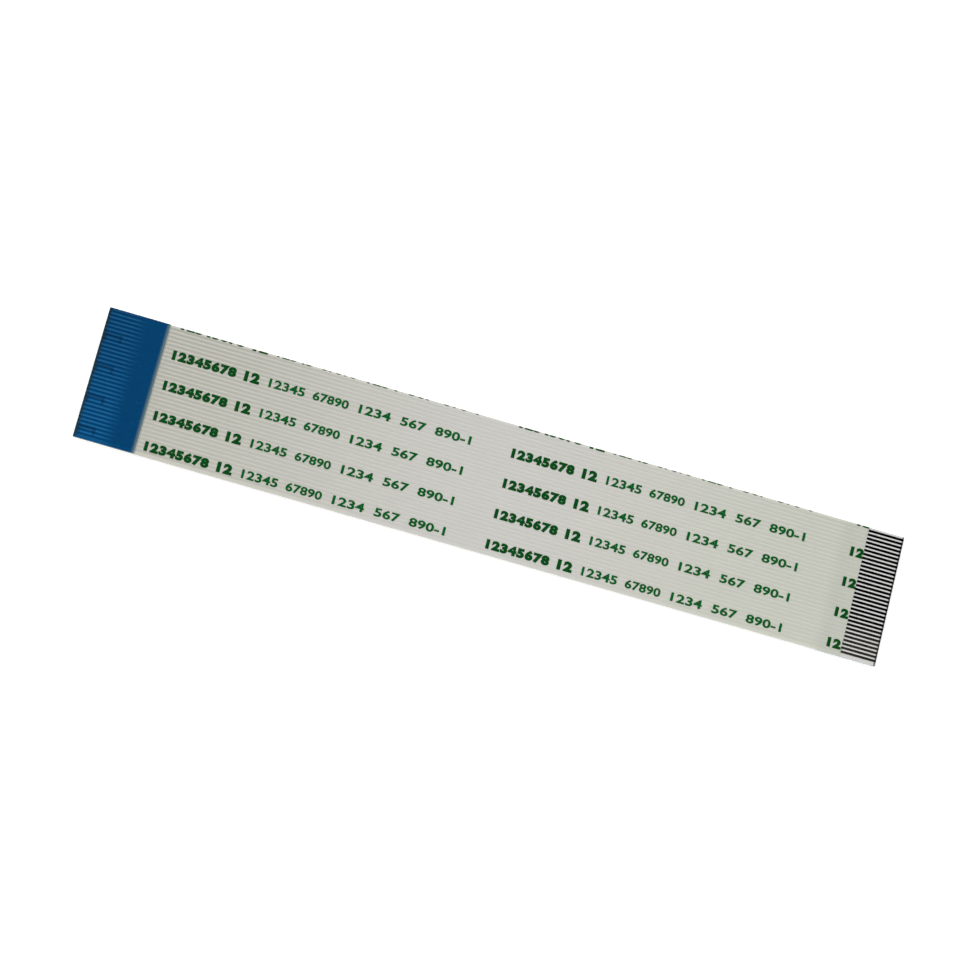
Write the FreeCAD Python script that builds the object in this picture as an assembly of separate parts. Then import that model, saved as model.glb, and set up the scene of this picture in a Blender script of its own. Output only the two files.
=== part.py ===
import FreeCAD, Part
import os

# Flat flex cable: flat conductors laminated between two films, with a window of bare contacts at
# each end, on opposite faces, and a stiffener behind each window.
# The cable lies along X and is as wide as Y. The origin is under its middle, at the lowest face.
# The left end, at -X, has its stiffener on top. The right end, at +X, has its contacts on top.
# All sizes are in millimetres.

# Conductors
conductor_count = 32
pitch = 0.50
conductor_width = 0.30
conductor_thickness = 0.05

# Films
cable_length = 100.0
film_thickness = 0.07
narrow_margin = 0.23
wide_margin = 0.47
rib_shoulder = 0.04
contact_length = 4.5

# Stiffeners
stiffener_length = 7.5
stiffener_thickness = 0.18
stiffener_relief = 0.012

# Print on the upper film: rows of word bars that repeat along the cable
ink_thickness = 0.02
row_pitch = 3.89
row_lean = 0.08
cut_row_offset = 0.41
bold_height = 1.30
plain_height = 1.12
print_repeat = 42.25
print_gap = 1.25

# One repeat of a row: each bar's start and length, and whether it is bold
word_bars = [
    (0.0, 7.9, True),
    (8.9, 1.9, True),
    (11.95, 4.45, False),
    (17.4, 4.45, False),
    (23.15, 3.95, False),
    (28.35, 3.15, False),
    (32.65, 4.5, False),
]

# Places worked out from the sizes
cable_width = (conductor_count - 1) * pitch + conductor_width + narrow_margin + wide_margin
left_tip = -cable_length / 2
right_tip = cable_length / 2
near_edge = -cable_width / 2
far_edge = cable_width / 2
seat_depth = conductor_thickness / 2
stiffener_face = film_thickness + seat_depth + stiffener_thickness
mid_plane = stiffener_face
conductor_rows = [
    far_edge - narrow_margin - conductor_width / 2 - step * pitch
    for step in range(conductor_count)
]

# A face of a layer: its height above the mid-plane in the gaps, its height over the conductors,
# and the width of the sloping shoulder between the two
film_inner = (0.0, seat_depth, 0.0)
film_outer = (film_thickness, film_thickness + seat_depth, rib_shoulder)
ink_outer = (film_outer[0] + ink_thickness, film_outer[1] + ink_thickness, rib_shoulder)
stiffener_pressed = (stiffener_face - stiffener_relief, stiffener_face, rib_shoulder)
stiffener_plain = (stiffener_face, stiffener_face, 0.0)


def height_at(y, face):
    """The height of a face at one place across the cable."""
    gap, over, shoulder = face
    beside = min(abs(y - row) for row in conductor_rows) - conductor_width / 2
    if beside <= 0:
        return over
    if beside >= shoulder:
        return gap
    return over + (gap - over) * beside / shoulder


def face_line(low_y, high_y, face):
    """The corners of a face across the cable, from high_y down to low_y."""
    gap, over, shoulder = face
    half = conductor_width / 2
    corners = []
    if gap != over:
        for row in conductor_rows:
            corners.append((row + half + shoulder, gap))
            corners.append((row + half, over))
            corners.append((row - half, over))
            corners.append((row - half - shoulder, gap))
    inside = [corner for corner in corners if low_y < corner[0] < high_y]
    return [(high_y, height_at(high_y, face))] + inside + [(low_y, height_at(low_y, face))]


def layer(start, end, inner, outer, side, low_y=near_edge, high_y=far_edge):
    """A solid between two faces, drawn across the cable and run along it from start to end.

    side is 1 above the mid-plane and -1 below it.
    """
    across = face_line(low_y, high_y, outer) + face_line(low_y, high_y, inner)[::-1]
    points = [FreeCAD.Vector(start, y, mid_plane + side * height) for y, height in across]
    outline = Part.makePolygon(points + points[:1])
    return Part.Face(outline).extrude(FreeCAD.Vector(end - start, 0, 0))


def upper_film():
    return layer(left_tip, right_tip - contact_length, film_inner, film_outer, 1)


def lower_film():
    return layer(left_tip + contact_length, right_tip, film_inner, film_outer, -1)


def conductor(row):
    corner = FreeCAD.Vector(left_tip, row - conductor_width / 2, mid_plane - seat_depth)
    return Part.makeBox(cable_length, conductor_width, conductor_thickness, corner)


def stiffener(tip, inward, side):
    """Reinforcement behind a contact window, with faint ribs as far as the window goes."""
    window = tip + inward * contact_length
    inner_end = tip + inward * stiffener_length
    pressed = layer(tip, window, film_outer, stiffener_pressed, side)
    plain = layer(window, inner_end, film_outer, stiffener_plain, side)
    return pressed.fuse(plain).removeSplitter()


def word_bar(start, length, middle, height):
    """One bar of ink, cut off where the film or the stiffener's edge cuts it. None if nothing is left."""
    first = max(start, left_tip + stiffener_length)
    last = min(start + length, right_tip - contact_length)
    low_y = max(middle - height / 2, near_edge)
    high_y = min(middle + height / 2, far_edge)
    if first >= last or low_y >= high_y:
        return None
    return layer(first, last, film_outer, ink_outer, 1, low_y, high_y)


def printed_marks():
    """The rows of print from the far edge to the near one, each starting a little before the last."""
    bars = []
    middle = far_edge + cut_row_offset
    row_start = left_tip + stiffener_length + print_gap
    while middle + bold_height / 2 > near_edge:
        repeat_start = row_start
        while repeat_start < right_tip - contact_length:
            for start, length, bold in word_bars:
                height = bold_height if bold else plain_height
                bars.append(word_bar(repeat_start + start, length, middle, height))
            repeat_start += print_repeat
        middle -= row_pitch
        row_start -= row_lean
    return Part.makeCompound([bar for bar in bars if bar])


def write(name, shape):
    shape.exportStep("parts/" + name + ".step")


os.makedirs("parts", exist_ok=True)
write("upper_film", upper_film())
write("lower_film", lower_film())
for number, row in enumerate(conductor_rows, start=1):
    write("conductor_%02d" % number, conductor(row))
write("front_stiffener", stiffener(left_tip, 1, 1))
write("rear_stiffener", stiffener(right_tip, -1, -1))
write("printed_marks", printed_marks())
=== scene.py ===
import math

import bmesh
import bpy
import numpy as np
from mathutils import Matrix, Vector


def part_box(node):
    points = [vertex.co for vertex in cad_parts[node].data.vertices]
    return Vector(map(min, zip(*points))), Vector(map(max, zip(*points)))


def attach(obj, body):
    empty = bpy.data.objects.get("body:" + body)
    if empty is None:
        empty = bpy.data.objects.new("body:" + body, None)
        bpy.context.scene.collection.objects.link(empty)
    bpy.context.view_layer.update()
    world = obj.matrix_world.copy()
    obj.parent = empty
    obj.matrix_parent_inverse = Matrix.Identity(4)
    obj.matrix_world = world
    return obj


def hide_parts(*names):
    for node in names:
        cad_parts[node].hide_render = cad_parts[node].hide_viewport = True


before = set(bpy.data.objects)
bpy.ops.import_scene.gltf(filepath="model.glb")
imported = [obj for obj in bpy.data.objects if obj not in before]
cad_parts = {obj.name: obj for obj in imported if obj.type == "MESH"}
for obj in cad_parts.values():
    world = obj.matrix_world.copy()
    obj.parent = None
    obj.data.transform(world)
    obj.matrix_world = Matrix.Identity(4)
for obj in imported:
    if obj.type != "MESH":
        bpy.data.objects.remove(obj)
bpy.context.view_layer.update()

# Lengths are in metres, and in millimetres where it says so
mm = 0.001

# Sizes read from the frame
conductor_names = sorted(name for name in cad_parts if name.startswith("conductor"))
conductor_boxes = [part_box(name) for name in conductor_names]
conductor_rows = sorted((low.y + high.y) / 2 for low, high in conductor_boxes)
strip_low, strip_high = conductor_boxes[0]
half_strip = (strip_high.y - strip_low.y) / 2
seat_depth = (strip_high.z - strip_low.z) / 2
mid_plane = (strip_high.z + strip_low.z) / 2
pitch = conductor_rows[1] - conductor_rows[0]
upper_low, upper_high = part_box("upper_film")
front_low, front_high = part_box("front_stiffener")
film_thickness = upper_high.z - mid_plane - seat_depth
ink_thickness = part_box("printed_marks")[1].z - upper_high.z
stiffener_length = front_high.x - front_low.x
stiffener_face = front_high.z - mid_plane
left_tip = upper_low.x
right_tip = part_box("lower_film")[1].x
near_edge = upper_low.y
far_edge = upper_high.y
window_length = right_tip - upper_high.x

# Rows of print, from the far edge to the near one
row_pitch = 3.89 * mm
first_row = far_edge + 0.41 * mm

# Camera: where the photograph was taken from
picture_size = 960
sensor_width = 36.0
camera_distance = 0.450
camera_near_clip = 0.005
pixels_per_mm = 8.3403
camera_tilt_x = math.radians(-12.94)
camera_tilt_y = math.radians(9.01)
cable_turn = math.radians(-14.36)
cable_shift = Vector((1.724 * mm, -0.976 * mm, 0))


def set_camera():
    """The photograph's viewpoint, with the cable lying in the picture as it does there."""
    tilt = Matrix.Rotation(camera_tilt_x, 3, "X") @ Matrix.Rotation(camera_tilt_y, 3, "Y")
    turn = Matrix.Rotation(cable_turn, 3, "Z")
    place = turn.transposed() @ (tilt.transposed() @ Vector((0, 0, camera_distance)) - cable_shift)
    data = bpy.data.cameras.new("camera")
    data.sensor_width = sensor_width
    data.lens = pixels_per_mm * camera_distance / mm * sensor_width / picture_size
    data.clip_start = camera_near_clip
    camera = bpy.data.objects.new("camera", data)
    camera.matrix_world = Matrix.Translation(place) @ (tilt @ turn).transposed().to_4x4()
    bpy.context.collection.objects.link(camera)
    bpy.context.scene.camera = camera


class Field:
    """A number that varies over a surface. Sums on it add the nodes that work it out."""

    def __init__(self, nodes, socket):
        self.nodes = nodes
        self.socket = socket

    def maths(self, operation, *values):
        """What a Math node makes of the values."""
        node = self.nodes.add("ShaderNodeMath", {"operation": operation}, dict(enumerate(values)))
        return Field(self.nodes, node.outputs[0])

    def __add__(self, other):
        return self.maths("ADD", self, other)

    __radd__ = __add__

    def __sub__(self, other):
        return self.maths("SUBTRACT", self, other)

    def __rsub__(self, other):
        return self.maths("SUBTRACT", other, self)

    def __mul__(self, other):
        return self.maths("MULTIPLY", self, other)

    __rmul__ = __mul__

    def __truediv__(self, other):
        return self.maths("DIVIDE", self, other)

    def __abs__(self):
        return self.maths("ABSOLUTE", self)

    def fraction(self):
        """What is left of it past a whole number."""
        return self.maths("FRACT", self)

    def rise(self, start, end):
        """0 up to start and 1 from end on, with a smooth slope between."""
        sockets = {"Value": self, "From Min": start, "From Max": end}
        node = self.nodes.add("ShaderNodeMapRange", {"interpolation_type": "SMOOTHSTEP"}, sockets)
        return Field(self.nodes, node.outputs[0])

    def band(self, start, end, soft):
        """1 between start and end and 0 outside, with slopes soft wide."""
        return self.rise(start - soft, start + soft) * (1 - self.rise(end - soft, end + soft))

    def limited(self):
        """Kept between 0 and 1, with a soft foot and top."""
        return self.rise(0.0, 1.1)


class Nodes:
    """The nodes of a material or of the light around."""

    def __init__(self, tree):
        self.tree = tree

    def add(self, kind, settings=None, sockets=None):
        """A node of that kind, with its settings first and then its sockets, as values or links."""
        node = self.tree.nodes.new(kind)
        for name, value in (settings or {}).items():
            setattr(node, name, value)
        for key, value in (sockets or {}).items():
            self.give(node.inputs[key], value)
        return node

    def give(self, socket, value):
        """Sets a socket to a plain value, or links it to one that varies."""
        if isinstance(value, Field):
            value = value.socket
        if isinstance(value, bpy.types.NodeSocket):
            self.tree.links.new(value, socket)
        else:
            socket.default_value = value

    def split(self, vector):
        """A vector's three numbers."""
        axes = self.add("ShaderNodeSeparateXYZ", {}, {0: vector}).outputs
        return [Field(self, socket) for socket in axes]


# Sockets of a Mix node that mixes colours
mix_factor = 0
mix_first = 6
mix_second = 7
mix_result = 2

# Soft sides of the lines over the conductors and of the margins, in millimetres
line_soft = 0.07
margin_gap = 0.05
margin_soft = 0.02


class Finish(Nodes):
    """A material that varies by its place on the cable, in millimetres along, across and up."""

    def __init__(self, name):
        self.material = bpy.data.materials.new(name)
        self.material.use_nodes = True
        super().__init__(self.material.node_tree)
        self.shader = self.tree.nodes["Principled BSDF"]
        place = self.add("ShaderNodeTexCoord").outputs["Object"]
        scale = {0: place, "Scale": 1 / mm}
        self.place = self.add("ShaderNodeVectorMath", {"operation": "SCALE"}, scale).outputs[0]
        self.along, self.across = self.split(self.place)[:2]

    def mix(self, factor, first, second):
        """A colour between first and second."""
        sockets = {mix_factor: factor, mix_first: first, mix_second: second}
        return self.add("ShaderNodeMix", {"data_type": "RGBA"}, sockets).outputs[mix_result]

    def shade(self, colour, amount):
        """A colour made darker or lighter by a varying amount, where 1 leaves it as it is."""
        grey = self.add("ShaderNodeCombineColor", {}, {0: amount, 1: amount, 2: amount}).outputs[0]
        settings = {"data_type": "RGBA", "blend_type": "MULTIPLY"}
        sockets = {mix_factor: 1.0, mix_first: colour, mix_second: grey}
        return self.add("ShaderNodeMix", settings, sockets).outputs[mix_result]

    def noise(self, stretch, detail=2.0):
        """Noise from 0 to 1 about 0.5. stretch is its cells to a millimetre along, across and up."""
        sockets = {0: self.place, 1: stretch}
        place = self.add("ShaderNodeVectorMath", {"operation": "MULTIPLY"}, sockets).outputs[0]
        node = self.add("ShaderNodeTexNoise", {}, {"Vector": place, "Scale": 1.0, "Detail": detail})
        return Field(self, node.outputs[0])

    def bump(self, height, distance_mm, strength):
        """Small relief in the surface, by a height from 0 to 1."""
        sockets = {"Height": height, "Distance": distance_mm * mm, "Strength": strength}
        self.set("Normal", self.add("ShaderNodeBump", {}, sockets).outputs[0])

    def set(self, name, value):
        """Gives the material's shader a value, plain or varying."""
        self.give(self.shader.inputs[name], value)

    def past_nearest(self, first, spacing):
        """How far past the nearest of evenly spaced lines, towards the far edge, in millimetres."""
        steps = (self.across - first / mm) / (spacing / mm) + 0.5
        return (steps.fraction() - 0.5) * (spacing / mm)

    def margins(self):
        """1 on the two margins beside the conductors and 0 between them."""
        first = (conductor_rows[0] - half_strip) / mm - margin_gap
        last = (conductor_rows[-1] + half_strip) / mm + margin_gap
        return 1 - self.across.band(first, last, margin_soft)

    def over_conductors(self):
        """1 over a conductor and 0 over a gap or a margin, with soft sides."""
        edge = half_strip / mm
        from_middle = abs(self.past_nearest(conductor_rows[0], pitch))
        between = from_middle.rise(edge - line_soft, edge + line_soft)
        return (1 - self.margins()) * (1 - between)

    def from_long_edge(self):
        """The distance from the nearer of the two long edges, in millimetres."""
        return far_edge / mm - abs(self.across)


def srgb(red, green, blue):
    """A colour as it is seen on a screen, from 0 to 255, as the light it stands for."""
    light = []
    for value in (red, green, blue):
        part = value / 255
        light.append(part / 12.92 if part <= 0.04045 else ((part + 0.055) / 1.055) ** 2.4)
    return (*light, 1.0)


# Colours of the cable
film_left = srgb(187, 186, 176)
film_middle = srgb(191, 190, 185)
film_right = srgb(190, 191, 180)
film_pressed = srgb(181, 183, 172)
film_inner_side = srgb(205, 204, 204)
film_inner_warm = srgb(204, 203, 199)
blue_light = srgb(22, 90, 136)
blue_dark = srgb(1, 55, 98)
blue_plain = srgb(3, 61, 103)
blue_shadow = srgb(2, 32, 58)
# The tape's tip line: partly its cut edge and partly painted shadow
blue_tip_edge_and_shadow = srgb(22, 46, 56)
tape_worn = srgb(152, 168, 146)
tape_side = srgb(152, 158, 160)
bold_green = srgb(0, 64, 16)
bold_worn = srgb(4, 90, 34)
plain_green = srgb(4, 80, 28)
plain_worn = srgb(14, 112, 52)
tin = srgb(172, 170, 166)
tin_worn = srgb(150, 148, 144)
tin_dull = srgb(154, 151, 141)
# The dark line at the lower film's tip: partly its cut edge and partly painted shadow
film_tip_edge_and_shadow = srgb(84, 84, 81)
floor_white = srgb(247, 247, 246)
white = (1, 1, 1, 1)

# Lengths for the finishes, in millimetres
tip_mm = right_tip / mm
window_mm = window_length / mm
tape_mm = stiffener_length / mm

# The places between which a thing ends or begins. The first two are steps from one half of the cable
# to the other: a short one over its middle, and a long one over nearly all of its width.
middle_step = (-1, 1)
width_step = (-7, 7)

# Along the cable: the painted light beside the front tape, which lifts the shadow that the tape casts
# on the film, the window of the lower film and the dark line at its cut tip, partly its cut edge and
# partly painted shadow
beside_tape = (tape_mm - tip_mm + 0.05, tape_mm - tip_mm + 0.5)
window_start = (tip_mm - window_mm, tip_mm - window_mm + 0.05)
cut_tip = (tip_mm - 0.26, tip_mm - 0.16)

# The upper film's tints. Each starts to show at its first place along the cable and is full at its
# second.
film_tints = (
    (film_middle, -44, 2),
    (film_right, 0, 40),
    (film_pressed, tip_mm - 8.5, tip_mm - 6.5),
)

# How strongly the conductors show through the upper film at the left tip and at the near edge, and
# how much that changes between two places along or across
lines_at_tip = 1.3
lines_along = ((-1.2, -46, -1), (0.35, 10, 40), (-0.3, 42, 45))
lines_at_near_edge = 0.78
lines_across = (0.5, -8, 8)

# How much each thing lightens or darkens a film, where 1 is its plain colour
film_light = 1.03
line_shade = 0.17
margin_light = 0.05
# Painted light beside the front tape, which lifts the shadow that the tape casts on the film
painted_light_beside_tape = 0.24
drift_depth = 0.05
streak_depth = 0.03
lower_line_shade = 0.08
lower_margin_shade = 0.07
lower_drift_depth = 0.06

# The films' noises, in cells to a millimetre along, across and up
film_drift = (0.12, 0.25, 0.0)
film_streaks = (0.1, 6.0, 0.0)
film_sheen = (0.8, 0.8, 0.8)
film_grain = (9.0, 14.0, 9.0)
film_grain_depth = 0.004
film_grain_strength = 0.4

# Across the right end, the film is warmer and the tin duller up to the first place, and less and
# less so up to the second
dull_side = (-6.0, -2.4)


def line_strength(finish):
    """How strongly the conductors show through the upper film, by the place on it."""
    along = lines_at_tip
    for change, start, end in lines_along:
        along = along + change * finish.along.rise(start, end)
    change, start, end = lines_across
    return along * (lines_at_near_edge + change * finish.across.rise(start, end))


def film_finish():
    """White polyester: faint lines where the conductors show through, slow drifts of tint, and painted
    light beside the front tape that lifts the tape's shadow on the film.
    """
    finish = Finish("white_film")
    colour = film_left
    for tint, start, full in film_tints:
        colour = finish.mix(finish.along.rise(start, full), colour, tint)
    lines = finish.over_conductors() * line_strength(finish)
    # Painted light beside the front tape, lifting the tape's shadow on the film
    painted_light_at_tape = 1 - finish.along.rise(*beside_tape)
    drift = finish.noise(film_drift, detail=3.0) - 0.5
    streaks = finish.noise(film_streaks, detail=1.0) - 0.5
    light = film_light - lines * line_shade + finish.margins() * margin_light
    light = light + painted_light_at_tape * painted_light_beside_tape + drift * drift_depth + streaks * streak_depth
    finish.set("Base Color", finish.shade(colour, light))
    finish.set("Roughness", 0.42 + finish.noise(film_sheen) * 0.12)
    finish.bump(finish.noise(film_grain, detail=3.0), film_grain_depth, film_grain_strength)
    return finish.material


def lower_film_finish():
    """The lower film, with its paler inner side in the window and a dark line at the cut tip, partly
    its cut edge and partly painted shadow.
    """
    finish = Finish("white_film_below")
    in_window = finish.along.rise(*window_start)
    at_film_tip_edge_and_shadow = finish.along.rise(*cut_tip)
    drift = finish.noise(film_drift, detail=3.0)
    lines = finish.over_conductors() * (1 - in_window)
    light = 1 - lines * lower_line_shade - finish.margins() * in_window * lower_margin_shade
    light = light + (drift - 0.5) * lower_drift_depth
    inner_side = finish.mix(finish.across.rise(*dull_side), film_inner_warm, film_inner_side)
    body = finish.shade(finish.mix(in_window, film_middle, inner_side), light)
    # A dark line at the cut tip: partly the cut edge and partly painted shadow
    finish.set("Base Color", finish.mix(at_film_tip_edge_and_shadow, body, film_tip_edge_and_shadow))
    finish.set("Roughness", 0.45 + drift * 0.1)
    finish.bump(finish.noise(film_grain, detail=3.0), film_grain_depth, film_grain_strength)
    return finish.material


# The print under the front tape, as marks: the start and end of each in from the tip and how soft
# its sides are, and the same across its row of print
marks_under_tape = (
    ((0.1, 0.6, 0.14), (-0.6, 0.5, 0.15)),
    ((0.5, 2.3, 0.2), (0.0, 0.36, 0.1)),
    ((2.1, 2.42, 0.14), (-0.58, 0.38, 0.12)),
)
marks_depth = 0.52

# How far in from the tip or from a long edge things go on the tape, and how far either side of the
# window's end its ribs fade out
rib_fade = 1.1
# The tape's dark tip line and its teeth are partly the cut edge and conductor ends, and partly painted
# shadow
tip_line = 0.8
tip_line_wander = 0.6
teeth = (0.1, 0.4)
worn_end = (tape_mm - 0.53, tape_mm + 0.12)
cut_side = (0.002, 0.006)
dark_edge = (0.15, 0.4)

# How strongly each thing shows on the tape
margin_rib = 0.5
tip_line_depth = 0.8
teeth_depth = 0.3
worn_depth = 0.5
cut_side_depth = 0.8

# How much each thing lightens or darkens the tape, where 1 is its plain colour
tape_light = 0.93
mottle_depth = 0.14
near_side_light = 0.24
near_margin_light = 0.18
dark_edge_shade = 0.09

# The tape's noises, in cells to a millimetre along, across and up
tape_mottle = (1.5, 2.5, 0.5)
rib_ends = (0.0, 1.6, 0.0)
tip_wander = (0.0, 1.3, 0.0)
tape_grain = (2.0, 12.0, 2.0)


def show_through(finish, from_tip):
    """Where the print under the front tape shows through it: in each row the last digits of a word."""
    row = finish.past_nearest(first_row, row_pitch)
    marks = sum(from_tip.band(*along) * row.band(*across) for along, across in marks_under_tape)
    on_front_tape = 1 - finish.along.rise(*middle_step)
    return marks.limited() * on_front_tape


def tape_tip_edge_and_shadow(finish, from_tip):
    """How dark the tape's tip is, partly its cut edge and partly painted shadow: a ragged line, with a
    tooth over each conductor.
    """
    ragged = (finish.noise(tip_wander) - 0.5) * tip_line_wander
    at_line = 1 - (from_tip + ragged).rise(0.0, tip_line)
    at_tooth = (1 - from_tip.rise(*teeth)) * finish.over_conductors()
    return (at_line * tip_line_depth + at_tooth * teeth_depth).limited()


def lightness_of_tape(finish, ribbed, mottle):
    """How light the tape is, by the place on it: lighter towards the near edge."""
    near_side = 0.5 - finish.across.rise(*width_step)
    near_margin = finish.margins() * (1 - finish.across.rise(*middle_step)) * (1 - ribbed)
    at_edge = 1 - finish.from_long_edge().rise(*dark_edge)
    light = (tape_light + mottle * mottle_depth) * (1 + near_side * ribbed * near_side_light)
    return light + near_margin * near_margin_light - at_edge * dark_edge_shade


def stiffener_finish():
    """Blue polyester tape: light lines between the conductors as far as the contact window goes."""
    finish = Finish("blue_tape")
    from_tip = tip_mm - abs(finish.along)
    past_ribs = (from_tip + finish.noise(rib_ends)).rise(window_mm - rib_fade, window_mm + rib_fade)
    ribbed = 1 - past_ribs
    on_rib = finish.over_conductors() + finish.margins() * margin_rib
    on_side = 1 - finish.from_long_edge().rise(*cut_side)
    colour = finish.mix(ribbed, blue_plain, finish.mix(on_rib, blue_light, blue_dark))
    colour = finish.mix(show_through(finish, from_tip) * marks_depth, colour, blue_shadow)
    # Dark tip line and teeth: partly the cut edge and conductor ends, partly painted shadow
    colour = finish.mix(tape_tip_edge_and_shadow(finish, from_tip), colour, blue_tip_edge_and_shadow)
    colour = finish.mix(from_tip.rise(*worn_end) * worn_depth, colour, tape_worn)
    colour = finish.mix(on_side * cut_side_depth, colour, tape_side)
    mottle = finish.noise(tape_mottle, detail=3.0)
    light = lightness_of_tape(finish, ribbed, mottle)
    finish.set("Base Color", finish.shade(colour, light))
    finish.set("Roughness", 0.22 + mottle * 0.08)
    finish.set("Specular IOR Level", 0.18)
    finish.bump(finish.noise(tape_grain, detail=1.0), distance_mm=0.003, strength=0.2)
    return finish.material


# The noises of the tin, the ink and the floor, in cells to a millimetre along, across and up
drawn_lines = (0.4, 40.0, 40.0)
tin_patches = (0.9, 0.5, 0.0)
ink_patches = (5.0, 5.0, 0.0)
floor_drift = (0.05, 0.05, 0.05)

# How dull the tin is at its dull side, at least and more in patches
dull_least = 0.6
dull_patches = 0.8

# The ink is worn where its noise is past the first value, and fully so past the second
worn_ink = (0.45, 0.8)

# How much light the floor gives of its own
floor_glow = 0.3


def contact_finish():
    """Tinned copper, drawn along its length and a little duller at one side of the cable."""
    finish = Finish("tinned_copper")
    drawn = finish.noise(drawn_lines, detail=3.0)
    patches = dull_least + finish.noise(tin_patches) * dull_patches
    dull = (1 - finish.across.rise(*dull_side)) * patches
    finish.set("Metallic", 1.0)
    finish.set("Base Color", finish.mix(dull, finish.mix(drawn, tin, tin_worn), tin_dull))
    finish.set("Roughness", 0.06 + drawn * 0.05 + dull * 0.15)
    finish.bump(drawn, distance_mm=0.002, strength=0.5)
    return finish.material


def ink_finish(name, full, worn):
    """Matt ink, worn in patches."""
    finish = Finish(name)
    patches = finish.noise(ink_patches, detail=4.0)
    finish.set("Base Color", finish.mix(patches.rise(*worn_ink), full, worn))
    finish.set("Roughness", 0.6 + patches * 0.2)
    finish.set("Specular IOR Level", 0.06)
    return finish.material


def floor_finish():
    """White, and lit a little from beneath like a light table, so that hardly a shadow shows."""
    finish = Finish("pale_floor")
    drift = finish.noise(floor_drift, detail=3.0)
    finish.set("Base Color", finish.shade(floor_white, 0.99 + drift * 0.02))
    finish.set("Roughness", 0.9)
    finish.set("Emission Color", white)
    finish.set("Emission Strength", floor_glow)
    return finish.material


# The ribs on a stiffener's outer face: their depth, and the length over which they fade out
relief_depth = 0.012 * mm
relief_fade = 1.0 * mm

# At each edge of a conductor: how far inside it a rib's rounding starts, how far outside it ends, and
# how far either side of it the steep wall of the conductor's seat reaches
crown = 0.02 * mm
shoulder = 0.06 * mm
wall = 0.005 * mm

# Where a mesh has lengthwise lines, outwards from each edge of a conductor, and how far apart its
# crosswise lines are
edge_steps = (-crown, -wall, wall, 0.02 * mm, 0.04 * mm, shoulder)
film_step = 4 * mm
tape_step = 0.5 * mm

# Faces that meet at more than this have a sharp edge between them
corner_angle = math.radians(45)


def beside(y):
    """How far a place across the cable is outside the nearest conductor, or below 0 if inside it."""
    return min(abs(y - row) for row in conductor_rows) - half_strip


def rib(y):
    """1 over a conductor and 0 beside it, with rounded shoulders."""
    slope = min(max((shoulder - beside(y)) / (shoulder + crown), 0), 1)
    return slope * slope * (3 - 2 * slope)


def seat(y):
    """1 where a conductor is seated and 0 beside it."""
    return 1.0 if beside(y) < 0 else 0.0


def lengthwise_lines():
    """Where a mesh has its lengthwise lines: at the edges and round each conductor."""
    places = {near_edge, far_edge}
    for row in conductor_rows:
        for step in edge_steps:
            places.add(row - half_strip - step)
            places.add(row + half_strip + step)
    return sorted(places)


line_places = lengthwise_lines()
rib_heights = np.array([rib(y) for y in line_places])
film_inside = np.array([seat(y) for y in line_places]) * seat_depth
film_outside = film_thickness + rib_heights * seat_depth


def stations(start, end, step):
    """Even places from start to end, about a step apart."""
    count = max(1, round((end - start) / step))
    return [start + (end - start) * n / count for n in range(count + 1)]


def piece(name, mesh, node):
    """A visible piece that takes the place of a CAD node."""
    thing = bpy.data.objects.new(name, mesh)
    bpy.context.collection.objects.link(thing)
    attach(thing, "root")
    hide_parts(node)
    return thing


def sheet_faces(count, width):
    """A closed sheet's faces, each as (corners, smooth), between count pairs of rows of points. A
    pair is its inner row and then its outer one, each width points long."""
    faces = []
    step = 2 * width
    last = width - 1
    for pair in range(count - 1):
        inner = pair * step
        outer = inner + width
        for n in range(inner, inner + last):
            faces.append(((n, n + 1, n + 1 + step, n + step), False))
        for n in range(outer, outer + last):
            faces.append(((n + step, n + 1 + step, n + 1, n), True))
        faces.append(((inner, inner + step, outer + step, outer), False))
        faces.append(((outer + last, outer + last + step, inner + last + step, inner + last), False))
    for inner, turned in ((0, False), ((count - 1) * step, True)):
        for n in range(inner, inner + last):
            end = (n, n + width, n + width + 1, n + 1)
            faces.append((end[::-1] if turned else end, False))
    return faces


def layer(name, places, inside, outside, side, material, node):
    """A closed sheet between two faces. inside and outside give its heights across the cable at a
    place along it. side is 1 above the mid-plane and -1 below it."""
    points = []
    for x in places:
        for heights in (inside(x), outside(x)):
            points += [(x, y, mid_plane + side * height) for y, height in zip(line_places, heights)]
    faces = sheet_faces(len(places), len(line_places))
    mesh = bpy.data.meshes.new(name)
    mesh.from_pydata(points, [], [corners if side == 1 else corners[::-1] for corners, _ in faces])
    mesh.polygons.foreach_set("use_smooth", [smooth for _, smooth in faces])
    mesh.set_sharp_from_angle(angle=corner_angle)
    mesh.materials.append(material)
    return piece(name, mesh, node)


def add_films():
    """The two films, each cut back at one end. Gives back the upper one."""
    upper = layer(
        "upper_film_sheet", stations(left_tip, right_tip - window_length, film_step),
        lambda x: film_inside, lambda x: film_outside, 1, film_finish(), "upper_film",
    )
    layer(
        "lower_film_sheet", stations(left_tip + window_length, right_tip, film_step),
        lambda x: film_inside, lambda x: film_outside, -1, lower_film_finish(), "lower_film",
    )
    return upper


def pressed_face(x):
    """A stiffener's outer face: faintly ribbed behind the contacts, then plain."""
    from_tip = right_tip - abs(x)
    slope = min(max((window_length - from_tip) / relief_fade + 0.5, 0), 1)
    return stiffener_face - relief_depth * slope * (1 - rib_heights)


def add_stiffeners():
    """The front tape on the upper film and the rear one on the lower film."""
    material = stiffener_finish()
    tapes = []
    for name, side in (("front_stiffener", 1), ("rear_stiffener", -1)):
        low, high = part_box(name)
        tapes.append(layer(
            name + "_tape", stations(low.x, high.x, tape_step),
            lambda x: film_outside, pressed_face, side, material, name,
        ))
    return tapes


def finish_contacts():
    """Tin on the conductors, whose shapes are those of the CAD part."""
    material = contact_finish()
    for name in conductor_names:
        for material_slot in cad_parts[name].material_slots:
            material_slot.material = material


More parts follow.
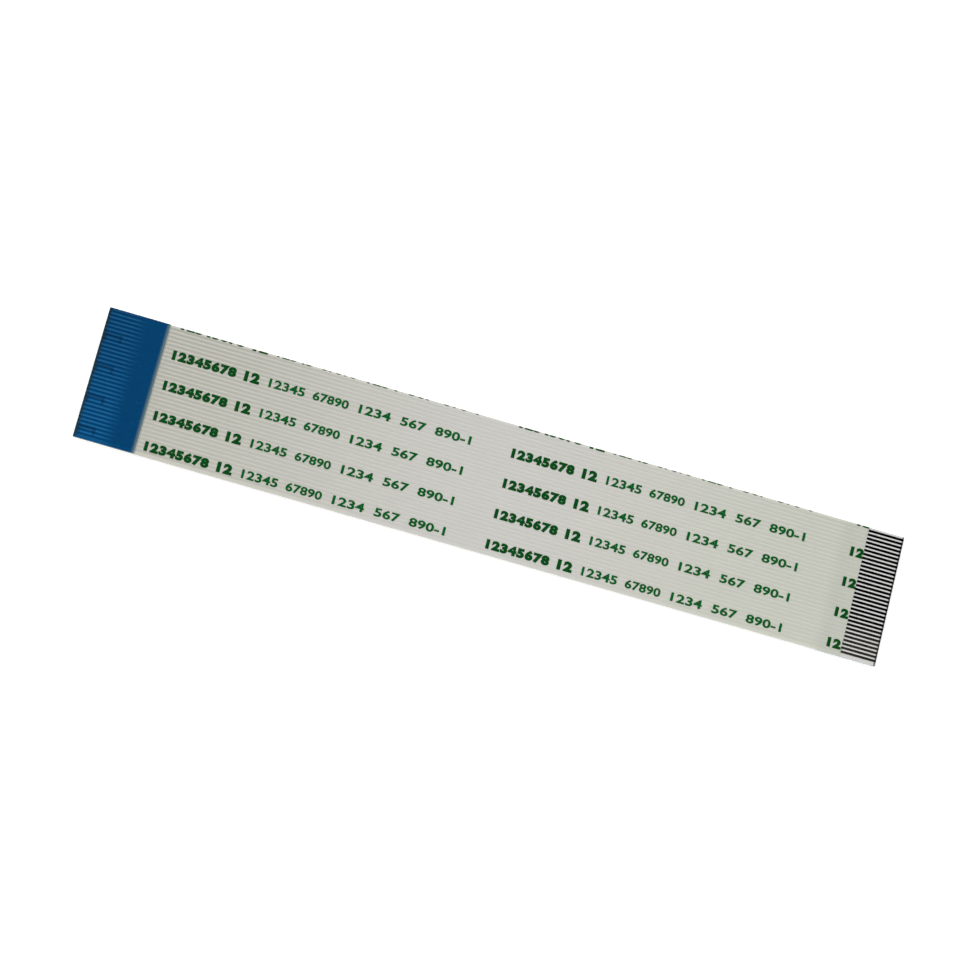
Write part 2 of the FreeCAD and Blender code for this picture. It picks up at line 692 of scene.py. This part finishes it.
# Print: rows of plain counted numbers, in words that repeat along the cable
row_lean = 0.08 * mm
print_gap = 1.25 * mm
repeat_starts = (0, 42.25 * mm, 85.2 * mm)
bold_height = 1.30 * mm
plain_height = 1.12 * mm

# Each word's start and length in a repeat, in millimetres, its digits, and whether it is bold
words = [
    (0.0, 7.9, "12345678", True),
    (8.9, 1.9, "12", True),
    (11.95, 4.45, "12345", False),
    (17.4, 4.45, "67890", False),
    (23.15, 3.95, "1234", False),
    (28.35, 3.15, "567", False),
    (32.65, 4.5, "890-1", False),
]

# The digits: how far their outlines are swollen, against the size of the type, how widely they are
# spaced, and the steps in each curve
bold_swell = 0.072
plain_swell = 0.03
bold_spacing = 1.17
plain_spacing = 1.03
curve_steps = 3

# A swollen outline folds over in its tightest corners. Folds up to this size are closed.
fold_size = 0.01

# Points of the print that are nearer than this are one, and a cut takes a nearer point as on it
weld_distance = 0.001 * mm
cut_distance = 0.00001 * mm


def digit_faces(digits, bold):
    """The flat faces of a word of plain digits, as (points, faces), in a box from 0 to 1."""
    curve = bpy.data.curves.new("word", "FONT")
    curve.body = digits
    curve.resolution_u = curve_steps
    curve.offset = bold_swell if bold else plain_swell
    curve.space_character = bold_spacing if bold else plain_spacing
    letters = bpy.data.objects.new("word", curve)
    bpy.context.collection.objects.link(letters)
    depsgraph = bpy.context.evaluated_depsgraph_get()
    mesh = bpy.data.meshes.new_from_object(letters.evaluated_get(depsgraph))
    shape = bmesh.new()
    shape.from_mesh(mesh)
    bmesh.ops.dissolve_degenerate(shape, dist=fold_size, edges=shape.edges[:])
    shape.verts.index_update()
    points = np.array([vertex.co[:2] for vertex in shape.verts])
    faces = [[vertex.index for vertex in face.verts] for face in shape.faces]
    shape.free()
    bpy.data.objects.remove(letters)
    bpy.data.curves.remove(curve)
    bpy.data.meshes.remove(mesh)
    low, high = points.min(0), points.max(0)
    return (points - low) / (high - low), faces


def cut(shape, place, normal, clear=False):
    """Splits the faces of a shape along a plane, and takes away what lies beyond it if clear."""
    geometry = shape.verts[:] + shape.edges[:] + shape.faces[:]
    bmesh.ops.bisect_plane(
        shape, geom=geometry, plane_co=place, plane_no=normal, clear_outer=clear, dist=cut_distance
    )


def print_row(middle, start, shapes):
    """One row of print from its first word on, with lines where the film has them, cut to the film."""
    row = bmesh.new()
    for repeat_start in repeat_starts:
        for (offset, length, _, bold), (points, faces) in zip(words, shapes):
            height = bold_height if bold else plain_height
            first = start + repeat_start + offset * mm
            placed = [
                row.verts.new((first + x * length * mm, middle + (y - 0.5) * height, 0))
                for x, y in points
            ]
            for face in faces:
                row.faces.new([placed[n] for n in face]).material_index = 0 if bold else 1
    for y in line_places:
        if abs(y - middle) < bold_height / 2:
            cut(row, (0, y, 0), (0, 1, 0))
    cut(row, (right_tip - window_length, 0, 0), (1, 0, 0), clear=True)
    cut(row, (0, far_edge, 0), (0, 1, 0), clear=True)
    return row


def lay_on_film(ink):
    """Lays flat ink over the film's ribs and gives it its thickness."""
    for vertex in ink.verts:
        vertex.co.z = mid_plane + np.interp(vertex.co.y, line_places, film_outside)
    raised = bmesh.ops.extrude_face_region(ink, geom=ink.faces[:], use_keep_orig=True)
    for item in raised["geom"]:
        if isinstance(item, bmesh.types.BMVert):
            item.co.z += ink_thickness
    bmesh.ops.recalc_face_normals(ink, faces=ink.faces[:])


def add_print():
    """All rows of print, from the far edge to the near one, as one piece."""
    shapes = [digit_faces(digits, bold) for _, _, digits, bold in words]
    ink = bmesh.new()
    middle = first_row
    row_start = left_tip + stiffener_length + print_gap
    while middle + bold_height / 2 > near_edge:
        row = print_row(middle, row_start, shapes)
        mesh = bpy.data.meshes.new("row")
        row.to_mesh(mesh)
        row.free()
        ink.from_mesh(mesh)
        bpy.data.meshes.remove(mesh)
        middle -= row_pitch
        row_start -= row_lean
    bmesh.ops.remove_doubles(ink, verts=ink.verts[:], dist=weld_distance)
    lay_on_film(ink)
    mesh = bpy.data.meshes.new("printed_numbers")
    ink.to_mesh(mesh)
    ink.free()
    mesh.materials.append(ink_finish("bold_green_ink", bold_green, bold_worn))
    mesh.materials.append(ink_finish("plain_green_ink", plain_green, plain_worn))
    piece("printed_numbers", mesh, "printed_marks")


def add_floor():
    """A plain floor that fills every view."""
    reach = 3.0
    mesh = bpy.data.meshes.new("floor")
    corners = [(-reach, -reach, 0), (reach, -reach, 0), (reach, reach, 0), (-reach, reach, 0)]
    mesh.from_pydata(corners, [], [(0, 1, 2, 3)])
    mesh.materials.append(floor_finish())
    floor = bpy.data.objects.new("floor", mesh)
    bpy.context.collection.objects.link(floor)


# The light all round. Heights are where it comes from: 0 is level with the cable and 1 is overhead.
low_light = 1.05
high_light = 0.95
high_light_rise = (0.25, 0.52)
dark_rise = (0.72, 0.86)
overhead_light = 0.004
far_gain = 0.19
right_loss = 0.15


def set_light():
    """Soft light all round, strongest half-way up and from the far left, and dark overhead: bare
    metal seen from above mirrors the dark."""
    world = bpy.data.worlds.new("studio")
    bpy.context.scene.world = world
    world.use_nodes = True
    nodes = Nodes(world.node_tree)
    direction = nodes.add("ShaderNodeTexCoord").outputs["Generated"]
    right, far, height = nodes.split(direction)
    around = 1 + far * far_gain - right * right_loss
    upward = low_light + height.rise(*high_light_rise) * high_light
    strength = upward * around * (1 - height.rise(*dark_rise)) + overhead_light
    background = world.node_tree.nodes["Background"]
    nodes.give(background.inputs["Strength"], strength)
    nodes.give(background.inputs["Color"], white)


bpy.context.scene.view_settings.view_transform = "Standard"
set_camera()
upper_film = add_films()
tapes = add_stiffeners()
finish_contacts()
add_print()
add_floor()
set_light()
